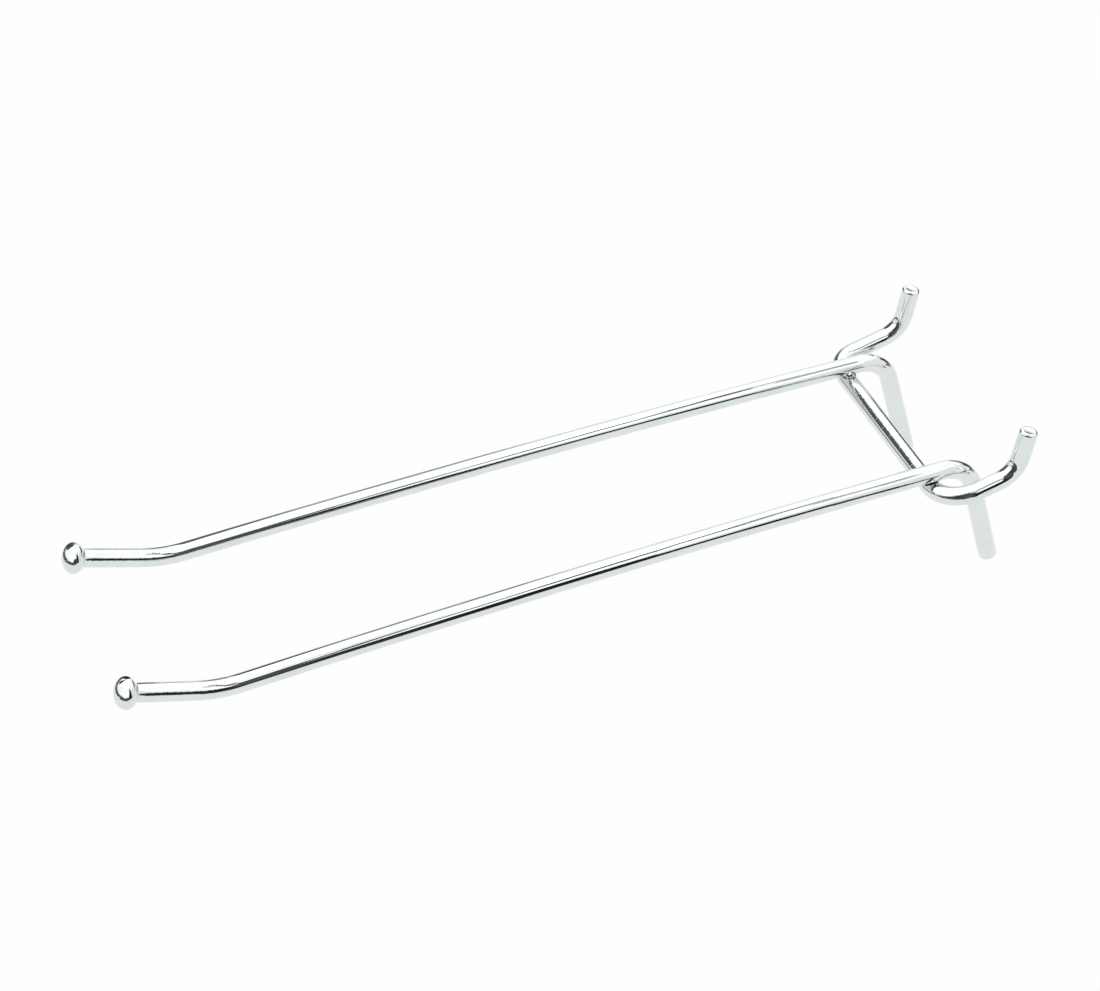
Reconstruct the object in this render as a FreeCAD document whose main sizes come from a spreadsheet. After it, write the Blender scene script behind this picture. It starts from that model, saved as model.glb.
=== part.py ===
"""Twin-prong pegboard hook of plated steel wire, in millimetres.

The hook is drawn as it hangs on the board. The board's front face is the plane y = 0, the arms reach out
along -Y and rise, the runs go through the board along +Y at z = 0, and x = 0 is midway between the prongs.
"""
import FreeCAD, Part
import math
import os
import Sketcher

Vec = FreeCAD.Vector

doc = FreeCAD.newDocument("pegboard_hook")

# Sizes: name, value, what it is
SIZES = [
    ("wire_dia", 3.7, "one gauge of wire for the prongs and the back wire"),
    ("peg_spacing", 50.8, "between the two pegs, two holes of a one-inch board"),
    ("prong_inset", 6.75, "each leg's axis inside its peg's axis"),
    ("splay", 0.5, "outward turn of each arm about its leg, degrees"),
    ("arm_length", 152.5, "corner to corner of the arm"),
    ("arm_slope", 13.6, "rise of the arm above level where it is welded, degrees"),
    ("arm_straight", 14.0, "corner to the end of the arm's straight stretch at the weld"),
    ("bow_radius", 2640.0, "radius of the arm's slight bow on the wire's axis"),
    ("tip_length", 17.6, "front corner to the middle of the ball"),
    ("tip_rise", 31.8, "rise of the upturned tip above level, degrees"),
    ("front_bend", 24.0, "radius of the front bend on the wire's axis"),
    ("back_bend", 7.4, "radius of the bend above the leg on the wire's axis"),
    ("leg_length", 26.15, "back corner to the end of the leg"),
    ("leg_edge", 0.4, "edge break of the leg's end"),
    ("ball_dia", 6.2, "ball across the wire"),
    ("ball_length", 4.4, "ball along the wire"),
    ("cross_front", 10.4, "crossbar's axis in front of the board's face"),
    ("set_down", 0.5, "how far each prong is pressed into the crossbar at its weld"),
    ("left_corner", 4.4, "radius of the crossbar's left corner on the wire's axis"),
    ("right_corner", 7.0, "radius of its right corner, which is bent wider"),
    ("elbow_back", 4.9, "corner between run and peg behind the board's front face"),
    ("peg_bend", 6.1, "radius of the bend under the peg on the wire's axis"),
    ("peg_length", 10.1, "that corner to the end of the peg"),
    ("peg_rise", 63.4, "rise of the peg above level, degrees"),
    ("peg_edge", 0.3, "edge break of the peg's sheared end"),
    ("weld_dia", 3.4, "weld collar across"),
    ("weld_height", 1.2, "weld collar along the line between the two wires"),
]

# Values that follow from the sizes
DERIVED = [
    ("prong_spacing", "=peg_spacing - 2 * prong_inset", "between the two legs"),
    ("leg_front", "=wire_dia / 2", "leg's axis in front of the board's face"),
    ("cross_gap", "=wire_dia - set_down", "between the two wires' axes at a weld"),
    ("cross_ahead", "=cross_front - leg_front", "crossbar's axis in front of the legs' axes"),
    ("arm_corner", "=cross_gap / cos(arm_slope * 1deg) - cross_ahead * tan(arm_slope * 1deg)",
     "height of the corner between leg and arm"),
    ("leg_end", "=arm_corner - leg_length", "height of the leg's end"),
    ("weld_side", "=prong_spacing / 2 + cross_ahead * tan(splay * 1deg)", "weld from the middle plane"),
    ("run_end", "=elbow_back - peg_bend * tan(peg_rise / 2 * 1deg)", "where a run starts to bend up"),
]

sheet = doc.addObject("Spreadsheet::Sheet", "dims")
for row, (name, value, note) in enumerate(SIZES + DERIVED, start=1):
    sheet.set("A%d" % row, name)
    sheet.set("B%d" % row, str(value))
    sheet.set("C%d" % row, note)
    sheet.setAlias("B%d" % row, name)
doc.recompute()


def size(name):
    """Value of a named size."""
    return float(getattr(sheet, name))


def radians(name):
    """Value of a named angle in radians."""
    return math.radians(size(name))


def plane(body, role):
    """Origin plane of a body."""
    return [item for item in body.Origin.OriginFeatures if item.Role == role][0]


def new_sketch(body, name, role):
    """Sketch on one of a body's own origin planes."""
    sketch = body.newObject("Sketcher::SketchObject", name)
    sketch.AttachmentSupport = [(plane(body, role), "")]
    sketch.MapMode = "FlatFace"
    return sketch


def bind(sketch, name, formula, *constraint):
    """Constraint with a name, held to a formula of the sheet."""
    index = sketch.addConstraint(Sketcher.Constraint(*constraint))
    sketch.renameConstraint(index, name)
    sketch.setExpression("Constraints." + name, formula)


def arc(middle, radius, first, last):
    """Arc of a circle from one point to another, counter-clockwise."""
    start = math.atan2(first.y - middle.y, first.x - middle.x)
    end = math.atan2(last.y - middle.y, last.x - middle.x)
    if end < start:
        end += 2 * math.pi
    return Part.ArcOfCircle(Part.Circle(middle, Vec(0, 0, 1), radius), start, end)


def wire_section(body, name, role, depth, across):
    """Round section of the wire, on an origin plane moved to a depth."""
    section = new_sketch(body, name, role)
    section.setExpression("AttachmentOffset.Base.z", depth)
    section.addGeometry(Part.Circle(Vec(size("peg_spacing") / 2 if across else 0, 0, 0),
                                    Vec(0, 0, 1), size("wire_dia") / 2), False)
    section.addConstraint(Sketcher.Constraint("PointOnObject", 0, 3, -1))
    if across:
        bind(section, "across", across, "DistanceX", -1, 1, 0, 3, size("peg_spacing") / 2)
    else:
        section.addConstraint(Sketcher.Constraint("PointOnObject", 0, 3, -2))
    bind(section, "wire", "dims.wire_dia", "Diameter", 0, size("wire_dia"))
    return section


def pipe(body, name, section, path):
    """Wire swept along a path."""
    feature = body.newObject("PartDesign::AdditivePipe", name)
    feature.Profile = section
    feature.Spine = path
    body.Tip = feature
    doc.recompute()
    return feature


def edges_where(shape, test):
    """Names of the edges whose middle passes a test."""
    names = []
    for number, edge in enumerate(shape.Edges, start=1):
        middle = edge.BoundBox.Center
        if test(edge, middle):
            names.append("Edge%d" % number)
    if not names:
        raise ValueError("no edge was found to dress")
    return names


# Back wire
def make_back_wire():
    """Crossbar with its corners and runs, and the two pegs."""
    body = doc.addObject("PartDesign::Body", "back_wire")
    body.Label = "back_wire"

    half = size("peg_spacing") / 2
    left = size("left_corner")
    right = size("right_corner")
    front = -size("cross_front")
    end = size("run_end")
    u_path = new_sketch(body, "u_path", "XY_Plane")
    bar_r = Vec(half - right, front, 0)
    bar_l = Vec(left - half, front, 0)
    turn_r = Vec(half, front + right, 0)
    turn_l = Vec(-half, front + left, 0)
    run_r = u_path.addGeometry(Part.LineSegment(Vec(half, end, 0), turn_r), False)
    arc_r = u_path.addGeometry(arc(Vec(half - right, front + right, 0), right, bar_r, turn_r), False)
    bar = u_path.addGeometry(Part.LineSegment(bar_r, bar_l), False)
    arc_l = u_path.addGeometry(arc(Vec(left - half, front + left, 0), left, turn_l, bar_l), False)
    run_l = u_path.addGeometry(Part.LineSegment(turn_l, Vec(-half, end, 0)), False)
    u_path.addConstraint([
        Sketcher.Constraint("Vertical", run_r),
        Sketcher.Constraint("Vertical", run_l),
        Sketcher.Constraint("Tangent", run_r, 2, arc_r, 2),
        Sketcher.Constraint("Tangent", arc_r, 1, bar, 1),
        Sketcher.Constraint("Tangent", bar, 2, arc_l, 2),
        Sketcher.Constraint("Tangent", arc_l, 1, run_l, 1),
        Sketcher.Constraint("Horizontal", bar),
        Sketcher.Constraint("Symmetric", run_r, 1, run_l, 2, -2),
    ])
    bind(u_path, "left_corner", "dims.left_corner", "Radius", arc_l, left)
    bind(u_path, "right_corner", "dims.right_corner", "Radius", arc_r, right)
    bind(u_path, "peg_spacing", "dims.peg_spacing", "DistanceX", run_l, 2, run_r, 1, 2 * half)
    bind(u_path, "run_end", "dims.run_end", "DistanceY", -1, 1, run_r, 1, end)
    bind(u_path, "cross_front", "dims.cross_front", "DistanceY", bar, 1, -1, 1, -front)
    section = wire_section(body, "back_section", "XZ_Plane", "-dims.run_end", "dims.peg_spacing / 2")
    pipe(body, "crossbar_and_runs", section, u_path)

    # Peg bent up behind the board
    turn = size("peg_bend")
    rise = radians("peg_rise")
    peg_path = new_sketch(body, "peg_path", "YZ_Plane")
    peg_path.setExpression("AttachmentOffset.Base.z", "dims.peg_spacing / 2")
    mid = Vec(end, turn, 0)
    way = Vec(math.cos(rise), math.sin(rise), 0)
    elbow = Vec(size("elbow_back"), 0, 0)
    bend_end = elbow + way * (turn * math.tan(rise / 2))
    curve = peg_path.addGeometry(arc(mid, turn, Vec(end, 0, 0), bend_end), False)
    peg = peg_path.addGeometry(Part.LineSegment(bend_end, elbow + way * size("peg_length")), False)
    corner = peg_path.addGeometry(Part.LineSegment(Vec(end, 0, 0), elbow), True)
    peg_path.addConstraint([
        Sketcher.Constraint("PointOnObject", corner, 1, -1),
        Sketcher.Constraint("PointOnObject", corner, 2, -1),
        Sketcher.Constraint("PointOnObject", corner, 2, peg),
        Sketcher.Constraint("Tangent", corner, 1, curve, 1),
        Sketcher.Constraint("Tangent", curve, 2, peg, 1),
    ])
    bind(peg_path, "elbow_back", "dims.elbow_back", "DistanceX", -1, 1, corner, 2, size("elbow_back"))
    bind(peg_path, "peg_bend", "dims.peg_bend", "Radius", curve, turn)
    bind(peg_path, "peg_rise", "dims.peg_rise * 1deg", "Angle", peg, rise)
    bind(peg_path, "peg_length", "dims.peg_length", "Distance", corner, 2, peg, 2, size("peg_length"))
    right_peg = pipe(body, "right_peg", section, peg_path)

    # The other peg
    both = body.newObject("PartDesign::Mirrored", "left_peg")
    both.Originals = [right_peg]
    both.MirrorPlane = (plane(body, "YZ_Plane"), [""])
    body.Tip = both
    doc.recompute()

    # Broken edge of the sheared ends
    tip = elbow + way * size("peg_length")
    broken = body.newObject("PartDesign::Chamfer", "peg_ends")
    broken.Base = (both, edges_where(
        both.Shape, lambda e, m: abs(m.y - tip.x) < 0.05 and abs(m.z - tip.y) < 0.05))
    broken.setExpression("Size", "dims.peg_edge")
    body.Tip = broken
    doc.recompute()
    return body


back_wire = make_back_wire()


# Prong
def prong_path(body, side):
    """Axis of a prong: leg, back bend, bowed arm, front bend and upturned tip."""
    path = new_sketch(body, body.Name + "_path", "YZ_Plane")
    path.AttachmentOffset = FreeCAD.Placement(Vec(0, 0, 0), FreeCAD.Rotation(Vec(0, side, 0), size("splay")))
    path.setExpression("AttachmentOffset.Rotation.Angle", "dims.splay")

    # Where the joints of the axis lie
    slope = radians("arm_slope")
    rise = radians("tip_rise")
    arm_way = Vec(-math.cos(slope), math.sin(slope), 0)
    arm_up = Vec(math.sin(slope), math.cos(slope), 0)
    tip_way = Vec(-math.cos(rise), math.sin(rise), 0)
    tip_up = Vec(math.sin(rise), math.cos(rise), 0)
    back_r = size("back_bend")
    bow_r = size("bow_radius")
    front_r = size("front_bend")
    straight = size("arm_straight")
    length = size("arm_length")

    corner = Vec(0, size("arm_corner"), 0)
    foot = Vec(0, size("leg_end"), 0)
    back_mid = Vec(-back_r, corner.y - back_r * (1 - math.sin(slope)) / math.cos(slope), 0)
    leg_top = Vec(0, back_mid.y, 0)
    arm_start = back_mid + arm_up * back_r
    bow_start = corner + arm_way * straight
    bow_mid = bow_start - arm_up * bow_r
    far = math.hypot(straight, bow_r)
    swing = math.acos((far ** 2 + bow_r ** 2 - length ** 2) / (2 * far * bow_r)) - math.atan2(straight, bow_r)
    front = bow_mid + (arm_up * math.cos(swing) + arm_way * math.sin(swing)) * bow_r
    lift = front + tip_up * front_r - bow_mid
    half = lift.dot(tip_way)
    ahead = -half + math.sqrt(half ** 2 - lift.dot(lift) + (bow_r + front_r) ** 2)
    front_mid = bow_mid + lift + tip_way * ahead
    bow_end = bow_mid + (front_mid - bow_mid) * (bow_r / (bow_r + front_r))
    tip_start = front + tip_way * ahead
    ball_mid = front + tip_way * size("tip_length")

    leg = path.addGeometry(Part.LineSegment(foot, leg_top), False)
    back_arc = path.addGeometry(arc(back_mid, back_r, leg_top, arm_start), False)
    seat = path.addGeometry(Part.LineSegment(arm_start, bow_start), False)
    bow = path.addGeometry(arc(bow_mid, bow_r, bow_start, bow_end), False)
    front_arc = path.addGeometry(arc(front_mid, front_r, tip_start, bow_end), False)
    tip = path.addGeometry(Part.LineSegment(tip_start, ball_mid), False)
    chord = path.addGeometry(Part.LineSegment(corner, front), True)

    path.addConstraint([
        Sketcher.Constraint("PointOnObject", leg, 1, -2),
        Sketcher.Constraint("Vertical", leg),
        Sketcher.Constraint("PointOnObject", chord, 1, -2),
        Sketcher.Constraint("Tangent", leg, 2, back_arc, 1),
        Sketcher.Constraint("Tangent", back_arc, 2, seat, 1),
        Sketcher.Constraint("Tangent", seat, 2, bow, 1),
        Sketcher.Constraint("Tangent", bow, 2, front_arc, 2),
        Sketcher.Constraint("Tangent", front_arc, 1, tip, 1),
        Sketcher.Constraint("PointOnObject", chord, 1, seat),
        Sketcher.Constraint("PointOnObject", chord, 2, bow),
        Sketcher.Constraint("PointOnObject", chord, 2, tip),
    ])
    bind(path, "arm_corner", "dims.arm_corner", "DistanceY", -1, 1, chord, 1, corner.y)
    bind(path, "arm_slope", "(180 - dims.arm_slope) * 1deg", "Angle", seat, math.pi - slope)
    bind(path, "arm_straight", "dims.arm_straight", "Distance", chord, 1, seat, 2, straight)
    bind(path, "arm_length", "dims.arm_length", "Distance", chord, length)
    bind(path, "bow_radius", "dims.bow_radius", "Radius", bow, bow_r)
    bind(path, "back_bend", "dims.back_bend", "Radius", back_arc, back_r)
    bind(path, "front_bend", "dims.front_bend", "Radius", front_arc, front_r)
    bind(path, "tip_rise", "(180 - dims.tip_rise) * 1deg", "Angle", tip, math.pi - rise)
    bind(path, "tip_length", "dims.tip_length", "Distance", chord, 2, tip, 2, size("tip_length"))
    bind(path, "leg_length", "dims.leg_length", "Distance", chord, 1, leg, 1, size("leg_length"))
    return path


def make_prong(name, side):
    """One prong, standing on its leg's axis and turned outwards by the splay."""
    body = doc.addObject("PartDesign::Body", name + "_bent")
    body.setExpression("Placement.Base.x", "%d * dims.prong_spacing / 2" % side)
    body.setExpression("Placement.Base.y", "-dims.leg_front")
    path = prong_path(body, side)
    section = wire_section(body, name + "_section", "XY_Plane", "dims.leg_end", None)
    pipe(body, name + "_wire", section, path)

    # Ball headed on the end of the wire
    ball = body.newObject("PartDesign::AdditiveEllipsoid", name + "_ball")
    ball.AttachmentSupport = [(path, "Edge6")]
    ball.MapMode = "NormalToEdge"
    ball.MapPathParameter = 1.0
    ball.setExpression("Radius1", "dims.ball_length / 2")
    ball.setExpression("Radius2", "dims.ball_dia / 2")
    ball.setExpression("Radius3", "dims.ball_dia / 2")
    body.Tip = ball
    doc.recompute()

    # Leg's end with its edge broken
    foot = size("leg_end")
    leg_end = body.newObject("PartDesign::Chamfer", name + "_leg_end")
    leg_end.Base = (ball, edges_where(ball.Shape, lambda e, m: abs(m.z - foot) < 0.01))
    leg_end.setExpression("Size", "dims.leg_edge")
    body.Tip = leg_end
    doc.recompute()

    # Seat pressed by the crossbar
    prong = doc.addObject("Part::Cut", name)
    prong.Label = name
    prong.Base = body
    prong.Tool = back_wire
    doc.recompute()
    return prong


left_prong = make_prong("left_prong", -1)
right_prong = make_prong("right_prong", 1)


# Welds
def make_weld(name, side, prong):
    """Collar squeezed out around a weld, fitted between the two wires."""
    drum = doc.addObject("Part::Cylinder", name + "_drum")
    drum.setExpression("Radius", "dims.weld_dia / 2")
    drum.setExpression("Height", "dims.weld_height")
    low = "((dims.cross_gap - dims.weld_height) / 2)"
    drum.Placement = FreeCAD.Placement(Vec(0, 0, 0), FreeCAD.Rotation(Vec(-1, 0, 0), size("arm_slope")))
    drum.setExpression("Placement.Rotation.Angle", "dims.arm_slope")
    drum.setExpression("Placement.Base.x", "%d * dims.weld_side" % side)
    drum.setExpression("Placement.Base.y", "-dims.cross_front + %s * sin(dims.arm_slope * 1deg)" % low)
    drum.setExpression("Placement.Base.z", low + " * cos(dims.arm_slope * 1deg)")
    under = doc.addObject("Part::Cut", name + "_under_prong")
    under.Base = drum
    under.Tool = prong
    weld = doc.addObject("Part::Cut", name)
    weld.Label = name
    weld.Base = under
    weld.Tool = back_wire
    doc.recompute()
    return weld


left_weld = make_weld("left_weld", -1, left_prong)
right_weld = make_weld("right_weld", 1, right_prong)

# Check and write
doc.recompute()
for item in doc.Objects:
    if "Invalid" in item.State or "Error" in item.State:
        raise ValueError("%s did not compute" % item.Name)

os.makedirs("parts", exist_ok=True)
for node in (left_prong, right_prong, back_wire, left_weld, right_weld):
    shape = node.Shape
    if not shape.isValid() or len(shape.Solids) != 1:
        raise ValueError("%s is not one valid solid" % node.Label)
    shape.exportStep("parts/%s.step" % node.Label)
    box = shape.optimalBoundingBox(False)
    print("%-12s volume %8.2f  x %.2f %.2f  y %.2f %.2f  z %.2f %.2f" % (
        node.Label, shape.Volume, box.XMin, box.XMax, box.YMin, box.YMax, box.ZMin, box.ZMax))
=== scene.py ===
"""Looks of a twin-prong pegboard hook of bright plated wire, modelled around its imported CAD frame, in metres.

The board's front face is the plane y = 0, the arms reach out along -Y and rise, the runs go through the board
along +Y at z = 0, and x = 0 is midway between the prongs.
"""

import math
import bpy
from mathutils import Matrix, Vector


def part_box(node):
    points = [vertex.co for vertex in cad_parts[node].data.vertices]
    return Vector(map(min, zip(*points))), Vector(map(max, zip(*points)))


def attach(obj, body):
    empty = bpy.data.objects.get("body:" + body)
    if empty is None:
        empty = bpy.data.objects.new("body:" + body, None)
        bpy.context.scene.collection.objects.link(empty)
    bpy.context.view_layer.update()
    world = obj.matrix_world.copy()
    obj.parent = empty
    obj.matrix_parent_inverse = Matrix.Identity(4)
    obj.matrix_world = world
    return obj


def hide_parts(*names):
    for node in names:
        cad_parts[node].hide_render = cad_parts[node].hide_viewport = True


bl_info = {
    "name": "Pegboard Hook",
    "version": (1, 0, 0),
    "blender": (4, 5, 0),
    "location": "View3D > Sidebar > Hook",
    "description": "Models a welded twin-prong pegboard hook of bright plated wire and its studio",
    "category": "Object",
}

import bpy
from mathutils import Matrix, Vector

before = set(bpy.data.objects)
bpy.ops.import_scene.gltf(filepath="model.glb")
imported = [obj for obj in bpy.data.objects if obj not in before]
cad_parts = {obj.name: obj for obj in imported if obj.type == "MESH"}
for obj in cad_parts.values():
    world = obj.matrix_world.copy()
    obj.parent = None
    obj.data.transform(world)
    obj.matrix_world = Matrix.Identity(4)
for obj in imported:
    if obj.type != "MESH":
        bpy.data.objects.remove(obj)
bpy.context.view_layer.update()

MM = 0.001
SIDES = 96  # faces round the wire
# Lumps of weld flash as shares of the lobe: size, ahead, towards the other prong, up
WELD_LUMPS = ((1.0, 0.0, 0.72, 0.2), (0.5, 0.42, 0.5, 0.02), (0.45, -0.4, 0.6, -0.05))
# Marks of the bending tool's grip: strength, and where along the wire they start and end
PRONG_GRIP = (0.5, 181 * MM, 190 * MM)
BACK_GRIP = (0.8, 24 * MM, 74 * MM)
# How far a ball reaches ahead of its middle and above it, in radii
BALL_REACH = (0.88, 0.92)
AXIS_X = Vector((1, 0, 0))
AXIS_Y = Vector((0, 1, 0))
AXIS_Z = Vector((0, 0, 1))


def linear(hex_colour):
    """Linear RGBA of an sRGB hex colour."""
    parts = [int(hex_colour[i:i + 2], 16) / 255 for i in (1, 3, 5)]
    return [p / 12.92 if p <= 0.04045 else ((p + 0.055) / 1.055) ** 2.4 for p in parts] + [1.0]


def length(name, millimetres, description):
    """Length property given in millimetres."""
    return bpy.props.FloatProperty(name=name, description=description, default=millimetres * MM,
                                   precision=5, unit="LENGTH")


def angle(name, degrees, description):
    """Angle property given in degrees."""
    return bpy.props.FloatProperty(name=name, description=description, default=math.radians(degrees),
                                   subtype="ANGLE")


def number(name, value, description):
    """Plain number property."""
    return bpy.props.FloatProperty(name=name, description=description, default=value)


def point(name, place, description):
    """Place property given in millimetres."""
    return bpy.props.FloatVectorProperty(name=name, description=description, precision=5,
                                         default=[part * MM for part in place], subtype="TRANSLATION")


def colour(name, hex_colour, description):
    """Colour property given as an sRGB hex value."""
    return bpy.props.FloatVectorProperty(name=name, description=description, default=linear(hex_colour),
                                         size=4, min=0, max=1, subtype="COLOR")


class HookSizes(bpy.types.PropertyGroup):
    """Sizes of the hook."""
    wire_dia: length("Wire", 3.7, "Gauge of the wire")
    peg_spacing: length("Peg spacing", 50.8, "Between the axes of the two pegs")
    prong_spacing: length("Prong spacing", 37.3, "Between the axes of the two legs")
    splay: angle("Splay", 0.5, "Outward turn of each arm about its leg")
    arm_length: length("Arm length", 152.5, "Corner to corner of an arm")
    arm_slope: angle("Arm slope", 13.6, "Rise of an arm above level at its weld")
    arm_straight: length("Arm straight", 14.0, "Corner to the end of the straight stretch at the weld")
    bow_radius: length("Bow radius", 2640.0, "Radius of an arm's slight bow")
    tip_length: length("Tip length", 17.6, "Front corner to the middle of the ball")
    tip_rise: angle("Tip rise", 31.8, "Rise of the upturned tip above level")
    front_bend: length("Front bend", 24.0, "Radius of the front bend on the axis")
    back_bend: length("Back bend", 7.4, "Radius of the bend above the leg on the axis")
    leg_length: length("Leg length", 26.15, "Back corner to the end of the leg")
    leg_edge: length("Leg edge", 0.4, "Rounding of the leg's end")
    ball_dia: length("Ball", 6.2, "Ball across the wire")
    ball_length: length("Ball length", 4.38, "Ball along the wire")
    cross_front: length("Crossbar", 10.4, "Crossbar's axis in front of the board's face")
    set_down: length("Set down", 0.5, "How far each prong is pressed into the crossbar")
    left_corner: length("Left corner", 4.4, "Radius of the crossbar's left corner on the axis")
    right_corner: length("Right corner", 7.0, "Radius of its right corner, which is bent wider")
    elbow_back: length("Elbow", 4.9, "Corner of run and peg behind the board's face")
    peg_bend: length("Peg bend", 6.1, "Radius of the bend under the peg on the axis")
    peg_length: length("Peg length", 10.1, "Elbow to the end of the peg")
    peg_rise: angle("Peg rise", 63.4, "Rise of a peg above level")
    peg_edge: length("Peg edge", 0.6, "Rounding of the rim of a peg's sheared end")
    peg_dish: length("Peg dish", 0.05, "Hollow left in a peg's sheared end")
    weld_dia: length("Weld", 3.4, "Weld collar across")
    weld_height: length("Weld height", 1.4, "Weld collar along the line between the two wires")
    weld_lobe: length("Weld lobe", 2.1, "Lump of flash squeezed out on the inner side of a prong")


class HookFinish(bpy.types.PropertyGroup):
    """Colours of the hook and its studio."""
    plating: colour("Plating", "#DEE4E2", "Bright plating where it is clean")
    plating_dull: colour("Dull plating", "#D5DBD9", "Plating where it has dulled")
    weld: colour("Weld", "#DCE2E0", "Plating over the lumpy weld")
    # Painted shade: the dark colour put in the weld's pits and in the crevice on the prong's outer side
    weld_painted_shade: colour("Weld burn", "#262826", "Heat-marked plating in the weld's hollows")
    floor: colour("Floor", "#F2F2F2", "Pale studio floor")


class HookStudio(bpy.types.PropertyGroup):
    """Camera and studio."""
    camera_turn: angle("Camera turn", 82.488, "Camera round the hook, from straight in front")
    camera_rise: angle("Camera rise", 42.842, "Camera above level")
    camera_roll: angle("Camera roll", -20.102, "Camera turned about its own line of sight")
    camera_away: length("Camera distance", 550.0, "Camera from the point it looks at")
    camera_aim: point("Camera aim", (3.371, -79.181, 26.643), "Point that the camera looks at")
    lens: number("Lens", 94.527, "Focal length in millimetres")
    floor_drop: length("Floor", 200.0, "Floor below the run")
    floor_size: length("Floor size", 12000.0, "Floor across")
    floor_glow: number("Floor glow", 0.9, "Share of plain white in the floor as it is seen")
    softbox: number("Softbox", 1.4, "Radiance of the overhead softbox")
    softbox_wide: length("Softbox width", 1280.0, "Overhead softbox from side to side")
    softbox_long: length("Softbox length", 1560.0, "Overhead softbox from front to back")
    softbox_place: point("Softbox place", (-360.0, -180.0, 800.0), "Middle of the overhead softbox")
    sky: number("Sky", 1.0, "Strength of the white studio round the hook")


# Modelling with the edit-mode tools

def pick(piece):
    """Makes a piece the only selected one."""
    bpy.ops.object.select_all(action="DESELECT")
    piece.select_set(True)
    bpy.context.view_layer.objects.active = piece


def settle():
    """Applies the place, turn and scale of the picked piece to its mesh."""
    bpy.ops.object.transform_apply(location=True, rotation=True, scale=True)


def face_outward():
    """Turns every face outward, in edit mode."""
    bpy.ops.mesh.select_all(action="SELECT")
    bpy.ops.mesh.normals_make_consistent(inside=False)


def start_wire(name, place, heading, radius):
    """Ring across the start of a wire, left selected in edit mode."""
    bpy.ops.object.select_all(action="DESELECT")
    bpy.ops.mesh.primitive_circle_add(vertices=SIDES, radius=radius, fill_type="NOTHING")
    wire = bpy.context.object
    wire.name = wire.data.name = name
    unbent = wire.data.attributes.new("unbent", "FLOAT_VECTOR", "POINT")
    for vertex in wire.data.vertices:
        unbent.data[vertex.index].vector = vertex.co
    wire.matrix_world = Matrix.Translation(place) @ heading.to_track_quat("Z", "Y").to_matrix().to_4x4()
    settle()
    bpy.ops.object.mode_set(mode="EDIT")
    bpy.ops.mesh.select_all(action="SELECT")
    return wire


def push(move, steps):
    """Extrudes the open ring straight ahead."""
    for _ in range(steps):
        bpy.ops.mesh.extrude_region_move(TRANSFORM_OT_translate={"value": move / steps})


def turn(middle, axis, turned, steps):
    """Spins the open ring round a bend."""
    bpy.ops.mesh.spin(steps=steps, angle=-turned, center=middle, axis=axis)


def swell(start, heading, radius, profile, reach=0.0):
    """Extrudes the open ring through a profile of distances ahead and radii."""
    for ahead, wide in profile:
        bpy.ops.mesh.extrude_region_move(TRANSFORM_OT_translate={"value": heading * (ahead - reach)})
        bpy.ops.transform.resize(value=(wide / radius,) * 3, center_override=start + heading * ahead)
        reach, radius = ahead, wide


def finish_wire(wire):
    """Closes the two ends and writes how far along the wire each ring lies."""
    out_of_round, sharp = 0.001 * MM, math.radians(40)
    bpy.ops.object.mode_set(mode="OBJECT")
    mesh = wire.data
    rings, spare = divmod(len(mesh.vertices), SIDES)
    if spare:
        raise ValueError("%s isn't made of whole rings" % wire.name)
    unbent = mesh.attributes["unbent"].data
    along, last = 0.0, None
    for ring in range(rings):
        members = range(ring * SIDES, (ring + 1) * SIDES)
        middle = sum((mesh.vertices[i].co for i in members), Vector()) / SIDES
        spread = [(mesh.vertices[i].co - middle).length for i in members]
        if max(spread) - min(spread) > out_of_round:
            raise ValueError("a ring of %s isn't round" % wire.name)
        along += (middle - last).length if last else 0.0
        last = middle
        for i in members:
            x, y, _ = unbent[i].vector
            unbent[i].vector = (x, y, along)
    bpy.ops.object.mode_set(mode="EDIT")
    bpy.ops.mesh.select_all(action="SELECT")
    bpy.ops.mesh.fill_holes(sides=0)
    face_outward()
    bpy.ops.object.mode_set(mode="OBJECT")
    bpy.ops.object.shade_smooth_by_angle(angle=sharp)


def rounded(radius, rounding, steps):
    """Profile of a rounded end, from the flat of the end face to the full wire."""
    marks = [math.pi / 2 * i / steps for i in range(steps + 1)]
    return [(rounding * (1 - math.cos(m)), radius - rounding * (1 - math.sin(m))) for m in marks]


def sheared(radius, edge, dish):
    """Profile of a sheared end, from the middle of its hollow over a rounded rim to the full wire."""
    rim = radius - edge
    hollow = [(dish * (1 - m * m), rim * m) for m in (0.06, 0.2, 0.35, 0.5, 0.65, 0.8, 0.92, 0.99)]
    return hollow + rounded(radius, edge, 8)


def place_piece(piece, node, material):
    """Gives a piece its material and puts it in the place of its CAD node."""
    piece.data.materials.clear()
    piece.data.materials.append(material)
    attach(piece, "root")
    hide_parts(node)


# Materials

def add_node(tree, kind, values=None, links=None, **settings):
    """Node with its settings, socket values and links."""
    node = tree.nodes.new(kind)
    for name, value in settings.items():
        setattr(node, name, value)
    for socket, value in (values or {}).items():
        node.inputs[socket].default_value = value
    for socket, source in (links or {}).items():
        tree.links.new(source, node.inputs[socket])
    return node


def new_material(name):
    """Empty material with its output."""
    material = bpy.data.materials.get(name) or bpy.data.materials.new(name)
    material.use_nodes = True
    material.node_tree.nodes.clear()
    output = add_node(material.node_tree, "ShaderNodeOutputMaterial")
    return material, material.node_tree, output


def noise(tree, vector, size, detail, roughness=0.5):
    """Noise of a size in the units of its vector."""
    return add_node(tree, "ShaderNodeTexNoise", {"Scale": 1 / size, "Detail": detail, "Roughness": roughness},
                    {"Vector": vector})


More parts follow.
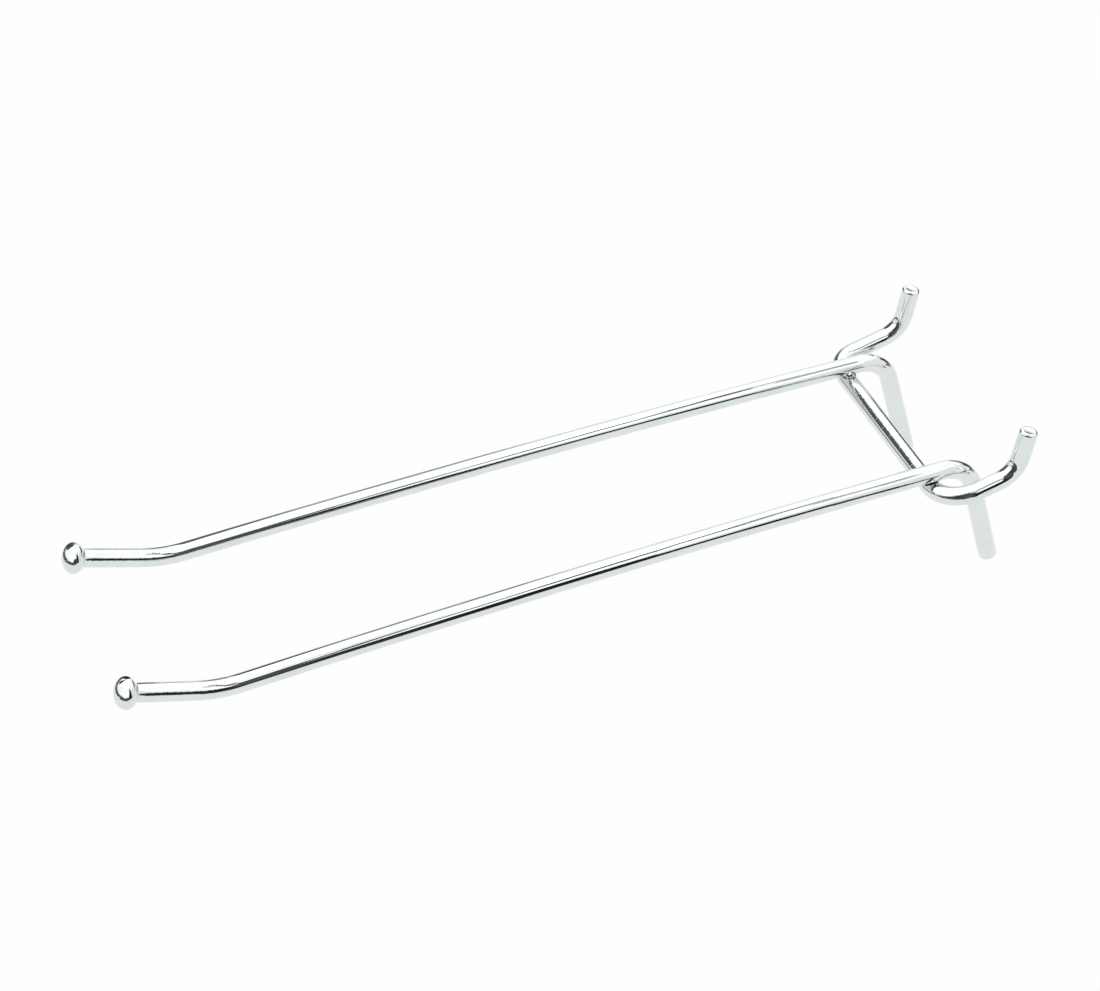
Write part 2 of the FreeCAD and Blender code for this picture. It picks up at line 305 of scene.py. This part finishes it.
def bright_zinc_plate(finish, name, grip):
    """Bright zinc plate on drawn steel wire: a mirror broken into fine lines along the wire by the die,
    mottled where the wire was gripped, with clouds of duller plate."""
    material, tree, output = new_material(name)
    die_wide, die_long, grain, ripple, cloud = 0.25 * MM, 110 * MM, 0.3 * MM, 3 * MM, 9 * MM
    ripple_depth, line_depth, grain_depth = 0.05 * MM, 0.04 * MM, 0.05 * MM
    mottle, start, end = grip
    fade, elsewhere = 6 * MM, 0.08
    place = add_node(tree, "ShaderNodeAttribute", attribute_name="unbent", attribute_type="GEOMETRY")
    unbent = place.outputs["Vector"]

    # Clouds of duller plate
    clouds = noise(tree, unbent, cloud, 4.0, 0.6)
    dulling = add_node(tree, "ShaderNodeMapRange", {"From Min": 0.45, "From Max": 0.75},
                       {"Value": clouds.outputs["Fac"]})
    tint = add_node(tree, "ShaderNodeMix", {"A": list(finish.plating), "B": list(finish.plating_dull)},
                    {"Factor": dulling.outputs["Result"]}, data_type="RGBA")
    polish = add_node(tree, "ShaderNodeMapRange",
                      {"From Min": 0.3, "From Max": 0.75, "To Min": 0.015, "To Max": 0.04},
                      {"Value": clouds.outputs["Fac"]})

    # Slight ripples and the die's lines
    ripples = noise(tree, unbent, ripple, 1.0)
    ripple_bump = add_node(tree, "ShaderNodeBump", {"Strength": 0.15, "Distance": ripple_depth},
                           {"Height": ripples.outputs["Fac"]})
    drawn = add_node(tree, "ShaderNodeMapping", {"Scale": (1 / die_wide, 1 / die_wide, 1 / die_long)},
                     {"Vector": unbent})
    lines = noise(tree, drawn.outputs["Vector"], 1.0, 2.0)
    line_bump = add_node(tree, "ShaderNodeBump", {"Strength": 0.6, "Distance": line_depth},
                         {"Height": lines.outputs["Fac"], "Normal": ripple_bump.outputs["Normal"]})

    # Mottling where the wire was gripped
    grains = noise(tree, unbent, grain, 2.0)
    along = add_node(tree, "ShaderNodeSeparateXYZ", links={"Vector": unbent})
    rise = add_node(tree, "ShaderNodeMapRange",
                    {"From Min": start - fade, "From Max": start, "To Min": elsewhere},
                    {"Value": along.outputs["Z"]})
    fall = add_node(tree, "ShaderNodeMapRange",
                    {"From Min": end, "From Max": end + fade, "To Min": mottle, "To Max": elsewhere * mottle},
                    {"Value": along.outputs["Z"]})
    gripped = add_node(tree, "ShaderNodeMath", links={0: rise.outputs["Result"], 1: fall.outputs["Result"]},
                       operation="MULTIPLY")
    grain_bump = add_node(tree, "ShaderNodeBump", {"Distance": grain_depth},
                          {"Strength": gripped.outputs[0], "Height": grains.outputs["Fac"],
                           "Normal": line_bump.outputs["Normal"]})
    shader = add_node(tree, "ShaderNodeBsdfPrincipled", {"Metallic": 1.0},
                      {"Base Color": tint.outputs["Result"], "Roughness": polish.outputs["Result"],
                       "Normal": grain_bump.outputs["Normal"]})
    tree.links.new(shader.outputs["BSDF"], output.inputs["Surface"])
    return material


def plated_weld(finish, side):
    """Zinc plate over a weld bead that far from the middle: lumpy, with painted shade in its pits and in
    the crevice on the prong's outer side."""
    material, tree, output = new_material("plated_weld")
    pit, pit_depth = 0.5 * MM, 0.08 * MM
    # Painted shade towards the crevice: full beyond the first distance from the middle, none within the second
    fully_shaded, bright = side + 0.5 * MM, side - 0.3 * MM
    place = add_node(tree, "ShaderNodeTexCoord")
    # Painted shade in the pits of the bead, where the bump is low
    pits = noise(tree, place.outputs["Object"], pit, 4.0)
    clean = add_node(tree, "ShaderNodeMapRange", {"From Min": 0.42, "From Max": 0.58},
                     {"Value": pits.outputs["Fac"]})
    across = add_node(tree, "ShaderNodeSeparateXYZ", links={"Vector": place.outputs["Object"]})
    across = add_node(tree, "ShaderNodeMath", links={0: across.outputs["X"]}, operation="ABSOLUTE")
    inner = add_node(tree, "ShaderNodeMapRange", {"From Min": fully_shaded, "From Max": bright},
                     {"Value": across.outputs[0]})
    clean = add_node(tree, "ShaderNodeMath", links={0: clean.outputs["Result"], 1: inner.outputs["Result"]},
                     operation="MULTIPLY")
    # Plating mixed towards the painted shade colour in the pits and the crevice
    tint = add_node(tree, "ShaderNodeMix", {"A": list(finish.weld_painted_shade), "B": list(finish.weld)},
                    {"Factor": clean.outputs[0]}, data_type="RGBA")
    dull = add_node(tree, "ShaderNodeMapRange", {"To Min": 0.05, "To Max": 0.22},
                    {"Value": pits.outputs["Fac"]})
    bump = add_node(tree, "ShaderNodeBump", {"Strength": 0.4, "Distance": pit_depth},
                    {"Height": pits.outputs["Fac"]})
    shader = add_node(tree, "ShaderNodeBsdfPrincipled", {"Metallic": 1.0},
                      {"Base Color": tint.outputs["Result"], "Roughness": dull.outputs["Result"],
                       "Normal": bump.outputs["Normal"]})
    tree.links.new(shader.outputs["BSDF"], output.inputs["Surface"])
    return material


# Pieces

def ahead_at(rise):
    """Unit vector towards the front that much above level, in a prong's own plane."""
    return Vector((0, -math.cos(rise), math.sin(rise)))


def above_at(rise):
    """Unit vector square to ahead_at, on its upper side."""
    return Vector((0, math.sin(rise), math.cos(rise)))


class HOOK_OT_prongs(bpy.types.Operator):
    """Model one prong from its leg to its ball and copy it to the other side"""
    bl_idname = "hook.prongs"
    bl_label = "Model the Prongs"

    def execute(self, context):
        s = context.scene.hook_sizes
        radius = s.wire_dia / 2
        leg_front = radius
        cross_gap = s.wire_dia - s.set_down
        corner_z = (cross_gap / math.cos(s.arm_slope)
                    - (s.cross_front - leg_front) * math.tan(s.arm_slope))
        corner = Vector((0, 0, corner_z))
        arm_way, arm_up = ahead_at(s.arm_slope), above_at(s.arm_slope)
        tip_way, tip_up = ahead_at(s.tip_rise), above_at(s.tip_rise)

        # Corners of the prong's axis and middles of its bends
        foot = corner - AXIS_Z * s.leg_length
        back_turn = math.pi / 2 - s.arm_slope
        back_reach = s.back_bend * math.tan(back_turn / 2)
        back_mid = corner - AXIS_Z * back_reach - AXIS_Y * s.back_bend
        bow_start = corner + arm_way * s.arm_straight
        bow_mid = bow_start - arm_up * s.bow_radius
        far = math.hypot(s.arm_straight, s.bow_radius)
        swing = (math.acos((far ** 2 + s.bow_radius ** 2 - s.arm_length ** 2) / (2 * far * s.bow_radius))
                 - math.atan2(s.arm_straight, s.bow_radius))
        front = bow_mid + (arm_up * math.cos(swing) + arm_way * math.sin(swing)) * s.bow_radius
        lift = front + tip_up * s.front_bend - bow_mid
        half = lift.dot(tip_way)
        front_reach = -half + math.sqrt(half ** 2 - lift.dot(lift) + (s.bow_radius + s.front_bend) ** 2)
        front_mid = bow_mid + lift + tip_way * front_reach
        bow_turn = (front_mid - bow_mid).angle(arm_up)
        front_turn = s.tip_rise - (s.arm_slope - bow_turn)
        ball_mid = front + tip_way * s.tip_length

        # Leg, arm and tip
        sole = 0.9 * (radius - s.leg_edge)  # first ring, just inside the rounded edge
        prong = start_wire("right_prong_wire", foot, AXIS_Z, sole)
        swell(foot, AXIS_Z, sole, rounded(radius, s.leg_edge, 8))
        push(AXIS_Z * (s.leg_length - s.leg_edge - back_reach), 10)
        turn(back_mid, AXIS_X, back_turn, 28)
        push(arm_way * (s.arm_straight - back_reach), 5)
        turn(bow_mid, AXIS_X, bow_turn, 60)
        turn(front_mid, AXIS_X, -front_turn, 18)

        # Neck and ball
        ball_half, ball_radius = s.ball_length / 2, s.ball_dia / 2
        neck_mark = math.pi - math.asin(radius / ball_radius)
        neck_round, pole, fillet = 0.05, 0.03, 0.15 * MM
        tip_start = front + tip_way * front_reach
        neck = s.tip_length - front_reach + ball_half * math.cos(neck_mark)
        push(tip_way * (neck - fillet), 6)
        neck_start = tip_start + tip_way * (neck - fillet)
        marks = [neck_mark - neck_round - (neck_mark - neck_round - pole) * i / 30 for i in range(31)]
        ball = [(0.08 * MM, radius * 1.008), (0.13 * MM, radius * 1.03)]
        ball += [(fillet + ball_half * (math.cos(m) - math.cos(neck_mark)), ball_radius * math.sin(m))
                 for m in marks]
        swell(neck_start, tip_way, radius, ball)
        finish_wire(prong)

        # Both prongs in their places
        plate = bright_zinc_plate(context.scene.hook_finish, "bright_zinc_plate", PRONG_GRIP)
        bpy.ops.object.duplicate()
        other = context.object
        other.name = other.data.name = "left_prong_wire"
        for piece, side in ((prong, 1), (other, -1)):
            pick(piece)
            piece.rotation_euler.z = side * s.splay
            piece.location = (side * s.prong_spacing / 2, -leg_front, 0)
            settle()
            place_piece(piece, "right_prong" if side > 0 else "left_prong", plate)
        return {"FINISHED"}


class HOOK_OT_back_wire(bpy.types.Operator):
    """Model the back wire from peg to peg"""
    bl_idname = "hook.back_wire"
    bl_label = "Model the Back Wire"

    def execute(self, context):
        s = context.scene.hook_sizes
        radius = s.wire_dia / 2
        across = s.peg_spacing / 2
        run_end = s.elbow_back - s.peg_bend * math.tan(s.peg_rise / 2)
        peg_way = Vector((0, math.cos(s.peg_rise), math.sin(s.peg_rise)))
        peg_straight = s.peg_length - s.peg_bend * math.tan(s.peg_rise / 2)
        left_y, right_y = s.left_corner - s.cross_front, s.right_corner - s.cross_front
        left_tip = Vector((-across, s.elbow_back, 0)) + peg_way * s.peg_length
        end = sheared(radius, s.peg_edge, s.peg_dish)
        full = end[-1][0]
        (first_ahead, first_wide), end = end[0], end[1:]

        wire = start_wire("back_wire_bent", left_tip - peg_way * first_ahead, -peg_way, first_wide)
        swell(left_tip, -peg_way, first_wide, end, first_ahead)
        push(-peg_way * (peg_straight - full), 5)
        turn(Vector((-across, run_end, s.peg_bend)), AXIS_X, -s.peg_rise, 28)
        push(-AXIS_Y * (run_end - left_y), 6)
        turn(Vector((s.left_corner - across, left_y, 0)), AXIS_Z, math.pi / 2, 36)
        push(AXIS_X * (2 * across - s.left_corner - s.right_corner), 24)
        turn(Vector((across - s.right_corner, right_y, 0)), AXIS_Z, math.pi / 2, 36)
        push(AXIS_Y * (run_end - right_y), 6)
        turn(Vector((across, run_end, s.peg_bend)), AXIS_X, s.peg_rise, 28)
        push(peg_way * (peg_straight - full), 5)
        right_tip = Vector((across, s.elbow_back, 0)) + peg_way * s.peg_length
        closing = [(-ahead, wide) for ahead, wide in reversed(end[:-1])] + [(-first_ahead, first_wide)]
        swell(right_tip, peg_way, radius, closing, -full)
        finish_wire(wire)
        plate = bright_zinc_plate(context.scene.hook_finish, "bright_zinc_plate_bent", BACK_GRIP)
        place_piece(wire, "back_wire", plate)
        return {"FINISHED"}


class HOOK_OT_welds(bpy.types.Operator):
    """Model one weld collar and copy it to the other side"""
    bl_idname = "hook.welds"
    bl_label = "Model the Welds"

    def execute(self, context):
        s = context.scene.hook_sizes
        cross_gap = s.wire_dia - s.set_down
        side = s.prong_spacing / 2 + (s.cross_front - s.wire_dia / 2) * math.tan(s.splay)
        middle = Vector((side, -s.cross_front, 0)) + above_at(s.arm_slope) * cross_gap / 2

        # Collar of flash between the wires
        radius, half = s.weld_dia / 2, s.weld_height / 2
        lip = 0.8 * radius
        marks = [math.pi * i / 12 for i in range(1, 12)]
        belly = [(half * (1 - math.cos(m)), radius * (0.8 + 0.2 * math.sin(m))) for m in marks]
        weld = start_wire("right_weld_bead", -AXIS_Z * half, AXIS_Z, lip)
        swell(-AXIS_Z * half, AXIS_Z, lip, belly + [(s.weld_height, lip)])
        bpy.ops.mesh.select_all(action="SELECT")
        bpy.ops.mesh.fill_holes(sides=0)

        # Lumps squeezed out on the side towards the other prong
        for size, ahead, across, rise in WELD_LUMPS:
            bpy.ops.mesh.primitive_uv_sphere_add(
                segments=24, ring_count=16, radius=size * s.weld_lobe / 2,
                location=(-across * s.weld_lobe, ahead * s.weld_lobe, rise * s.weld_lobe))
        face_outward()
        bpy.ops.object.mode_set(mode="OBJECT")

        # One lumpy skin over them all
        skin = weld.modifiers.new("skin", "REMESH")
        skin.mode = "VOXEL"
        skin.voxel_size = 0.07 * MM
        bpy.ops.object.modifier_apply(modifier=skin.name)
        bpy.ops.object.mode_set(mode="EDIT")
        bpy.ops.mesh.select_all(action="SELECT")
        bpy.ops.transform.vertex_random(offset=0.03 * MM, uniform=0.0, normal=1.0, seed=7)
        bpy.ops.mesh.vertices_smooth(factor=0.5, repeat=6)
        face_outward()
        bpy.ops.object.mode_set(mode="OBJECT")
        bpy.ops.object.shade_smooth()

        # Both welds in their places
        finish = plated_weld(context.scene.hook_finish, side)
        bpy.ops.object.duplicate()
        other = context.object
        other.name = other.data.name = "left_weld_bead"
        for piece, way in ((weld, 1), (other, -1)):
            pick(piece)
            piece.scale.x = way
            settle()
            piece.rotation_euler.x = -s.arm_slope
            piece.location = (way * middle.x, middle.y, middle.z)
            settle()
            bpy.ops.object.mode_set(mode="EDIT")
            face_outward()
            bpy.ops.object.mode_set(mode="OBJECT")
            place_piece(piece, "right_weld" if way > 0 else "left_weld", finish)
        return {"FINISHED"}


# Studio

def towards(turned, rise):
    """Unit vector at an angle round the hook, from straight in front, and above level."""
    return Vector((math.sin(turned) * math.cos(rise), -math.cos(turned) * math.cos(rise), math.sin(rise)))


def card(name, edge, glows, middle=Vector()):
    """Bent card that only the plating's reflections show, along an edge of turns round a middle, lower and
    upper rises in degrees and distances away in metres, with the glow of each stretch."""
    bpy.ops.object.select_all(action="DESELECT")
    bpy.ops.mesh.primitive_grid_add(x_subdivisions=len(glows), y_subdivisions=1, size=1)
    strip = bpy.context.object
    strip.name = strip.data.name = name
    corners = [middle + towards(math.radians(turned), math.radians(rise[row])) * away
               for row in (0, 1) for turned, *rise, away in edge]
    for vertex, corner in zip(strip.data.vertices, corners):
        vertex.co = corner
    glow = strip.data.attributes.new("glow", "FLOAT", "FACE")
    for face, value in enumerate(glows):
        glow.data[face].value = value
    material, tree, output = new_material(name)
    grey = add_node(tree, "ShaderNodeAttribute", attribute_name="glow", attribute_type="GEOMETRY")
    light = add_node(tree, "ShaderNodeEmission", {"Color": (1, 1, 1, 1)}, {"Strength": grey.outputs["Fac"]})
    tree.links.new(light.outputs["Emission"], output.inputs["Surface"])
    strip.data.materials.append(material)
    strip.visible_camera = strip.visible_diffuse = strip.visible_shadow = strip.visible_transmission = False


# Dark gap between the studio's softboxes and its table, the seams of the softboxes and the softboxes, as the
# plating shows them: each card's edge is turn, lower rise, upper rise and distance away, then come its glows
CARDS = {
    "gap_back": (
        ((-198, -9.8, -8.2, 0.53), (-177, -23, -8, 0.44), (-168.5, -19, 5, 0.56), (-148, -22, 4, 0.6),
         (-134, -18, 9.5, 0.53), (-124, -6, 4, 0.5)),
        (0.2, 0.3, 0.08, 0.1, 0.2)),
    "gap_left": (
        ((-102, 13, 14, 0.31), (-90, 16.5, 47, 0.65), (-80.5, 9, 48, 0.49), (-60, 15.5, 53, 0.44),
         (-37.5, 23.5, 37.5, 0.66)),
        (0.5, 0.12, 0.13, 0.1)),
    "gap_front": (
        ((-95, 1, 16, 0.5), (-70, 2, 13, 0.5), (-46, -2, 6, 0.5), (-20, 3, 11, 0.5),
         (-6, 8, 16, 0.5), (30, 6, 14, 0.5), (60, -1, 8, 0.5), (75, -6, 6, 0.5)),
        (0.06, 0.08, 0.1, 0.1, 0.1, 0.1, 0.06)),
    "gap_near": (
        ((66, 6, 35, 0.51), (73, 6, 25.5, 0.73), (90.5, -11.5, 30, 0.59), (101.5, -2, 26, 0.53),
         (104.4, -9, 23, 0.5), (105, -25, 21, 0.5), (108.8, -24, 17, 0.5)),
        (0.02, 0.04, 0.02, 0.01, 0.01, 0.02)),
    "gap_right": (
        ((112, -11, -9, 0.45), (140, -29, -15, 0.55), (145, -10, -9, 0.5)),
        (0.71, 0.11)),
    "camera_side": (
        ((4, 12, 28, 0.6), (20, 9, 30, 0.55), (33, 10, 34, 0.52), (46, 10, 48, 0.5),
         (62, 8, 52, 0.5), (78, 7, 60, 0.49), (92, 12, 40.5, 0.66), (97.5, 14, 20, 0.64)),
        (0.15, 0.1, 0.08, 0.06, 0.1, 0.1, 0.1)),
    "seam": (
        ((92.5, 36, 44, 0.86), (106, 42, 50, 0.73), (120, 49, 56, 0.77), (130, 54.5, 60.5, 0.79),
         (151, 57, 62, 0.74), (181, 58, 62.5, 0.75), (190, 60, 62, 0.75)),
        (0.08, 0.08, 0.1, 0.1, 0.12, 0.3)),
    "seam_rear": (
        ((140, 45.5, 51, 0.75), (149, 49.5, 55, 0.75), (157, 52.6, 57, 0.75), (165, 54.5, 58, 0.75)),
        (0.5, 0.55, 0.6)),
    "softbox_left": (
        ((-175, 14, 72, 0.9), (-135, 11, 72, 0.9), (-105, 20, 72, 0.9)),
        (1.4, 1.4)),
    "softbox_right": (
        ((96, 24, 56, 0.9), (175, 24, 56, 0.9)),
        (1.4,)),
}
# The same gap and softbox as each ball shows them, measured from the middle of the ball: distance away, then
# an edge of turn, lower rise and upper rise, and then the glows
BALL_CARDS = {
    "ball_gap": (
        0.026,
        ((-100, -2, 16), (-84, 2, 30), (-66, 12, 34), (-56, 8, 22), (-48, 8, 14), (-30, 10.5, 16),
         (-10, 14.5, 20), (10, 10.5, 15.5), (29, 11.5, 17), (60, 6, 12.5), (88, -3, 12), (99, -7, 28),
         (110, -9, 37), (122, -2, 44), (134, 24, 50), (142, 48, 52)),
        (0.08, 0.06, 0.1, 0.15, 0.15, 0.12, 0.12, 0.12, 0.12, 0.08, 0.04, 0.03, 0.03, 0.05, 0.1)),
    "ball_softbox": (
        0.028,
        ((-44, 24, 80), (0, 24, 80), (45, 20, 80), (88, 14, 75), (110, 39, 75)),
        (1.25, 1.35, 1.35, 1.35)),
}


class HOOK_OT_stage(bpy.types.Operator):
    """Set the floor, the light and the camera"""
    bl_idname = "hook.stage"
    bl_label = "Set the Stage"

    def execute(self, context):
        scene = context.scene
        studio, finish = scene.hook_studio, scene.hook_finish
        scene.view_settings.view_transform = "Standard"

        # Floor
        bpy.ops.object.select_all(action="DESELECT")
        bpy.ops.mesh.primitive_plane_add(size=studio.floor_size, location=(0, 0, -studio.floor_drop))
        floor = context.object
        floor.name = floor.data.name = "studio_floor"
        material, tree, output = new_material("studio_floor")
        paint = add_node(tree, "ShaderNodeBsdfDiffuse", {"Color": list(finish.floor)})
        white = add_node(tree, "ShaderNodeEmission", {"Color": (1, 1, 1, 1), "Strength": 1.0})
        ray = add_node(tree, "ShaderNodeLightPath")
        seen = ray.outputs["Is Camera Ray"]
        for kind in ("Is Glossy Ray", "Is Transmission Ray"):
            both = add_node(tree, "ShaderNodeMath", links={0: seen, 1: ray.outputs[kind]}, operation="ADD")
            seen = both.outputs[0]
        share = add_node(tree, "ShaderNodeMath", {1: studio.floor_glow}, {0: seen}, operation="MULTIPLY")
        surface = add_node(tree, "ShaderNodeMixShader", links={
            0: share.outputs[0], 1: paint.outputs["BSDF"], 2: white.outputs["Emission"]})
        tree.links.new(surface.outputs["Shader"], output.inputs["Surface"])
        floor.data.materials.append(material)

        # White studio all round
        world = scene.world or bpy.data.worlds.new("studio")
        scene.world = world
        world.use_nodes = True
        tree = world.node_tree
        tree.nodes.clear()
        output = add_node(tree, "ShaderNodeOutputWorld")
        sky = add_node(tree, "ShaderNodeBackground", {"Color": (1, 1, 1, 1), "Strength": studio.sky})
        tree.links.new(sky.outputs["Background"], output.inputs["Surface"])

        # Softbox overhead
        lamp = bpy.data.lights.new("softbox_overhead", "AREA")
        lamp.shape = "RECTANGLE"
        lamp.size, lamp.size_y = studio.softbox_wide, studio.softbox_long
        lamp.energy = studio.softbox * math.pi * lamp.size * lamp.size_y
        softbox = bpy.data.objects.new("softbox_overhead", lamp)
        softbox.location = studio.softbox_place
        softbox.visible_camera = softbox.visible_diffuse = False
        scene.collection.objects.link(softbox)

        # Cards that the plating reflects
        for name, (edge, glows) in CARDS.items():
            card(name, edge, glows)
        ball = scene.hook_sizes.ball_dia / 2
        ahead, above = (share * ball for share in BALL_REACH)
        for node in ("right_prong", "left_prong"):
            low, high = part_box(node)
            across = high[0] - ball if node == "right_prong" else low[0] + ball
            middle = Vector((across, low[1] + ahead, high[2] - above))
            for name, (away, edge, glows) in BALL_CARDS.items():
                card(name + "_" + node, [(*mark, away) for mark in edge], glows, middle)

        # Camera
        lens = bpy.data.cameras.new("camera")
        lens.lens = studio.lens
        camera = bpy.data.objects.new("camera", lens)
        scene.collection.objects.link(camera)
        back = towards(studio.camera_turn, studio.camera_rise)
        facing = (-back).to_track_quat("-Z", "Y").to_matrix().to_4x4()
        camera.matrix_world = (Matrix.Translation(Vector(studio.camera_aim) + back * studio.camera_away)
                               @ facing @ Matrix.Rotation(studio.camera_roll, 4, "Z"))
        scene.camera = camera
        return {"FINISHED"}


class HOOK_PT_panel(bpy.types.Panel):
    """Sizes, finish and studio of the hook, with its modelling steps"""
    bl_label = "Pegboard Hook"
    bl_idname = "HOOK_PT_panel"
    bl_space_type = "VIEW_3D"
    bl_region_type = "UI"
    bl_category = "Hook"

    def draw(self, context):
        layout = self.layout
        for group in (context.scene.hook_sizes, context.scene.hook_finish, context.scene.hook_studio):
            column = layout.column(align=True)
            for name in group.bl_rna.properties.keys():
                if name not in ("rna_type", "name"):
                    column.prop(group, name)
        for operator in OPERATORS:
            layout.operator(operator.bl_idname)


OPERATORS = (HOOK_OT_prongs, HOOK_OT_back_wire, HOOK_OT_welds, HOOK_OT_stage)
GROUPS = {"hook_sizes": HookSizes, "hook_finish": HookFinish, "hook_studio": HookStudio}


def register():
    """Adds the hook's classes and its settings."""
    for cls in (*GROUPS.values(), *OPERATORS, HOOK_PT_panel):
        bpy.utils.register_class(cls)
    for name, group in GROUPS.items():
        setattr(bpy.types.Scene, name, bpy.props.PointerProperty(type=group))


def unregister():
    """Removes the hook's settings and its classes."""
    for name in GROUPS:
        delattr(bpy.types.Scene, name)
    for cls in reversed((*GROUPS.values(), *OPERATORS, HOOK_PT_panel)):
        bpy.utils.unregister_class(cls)


def main():
    """Models the hook and its studio."""
    register()
    bpy.ops.hook.prongs()
    bpy.ops.hook.back_wire()
    bpy.ops.hook.welds()
    bpy.ops.hook.stage()


if __name__ == "__main__":
    main()
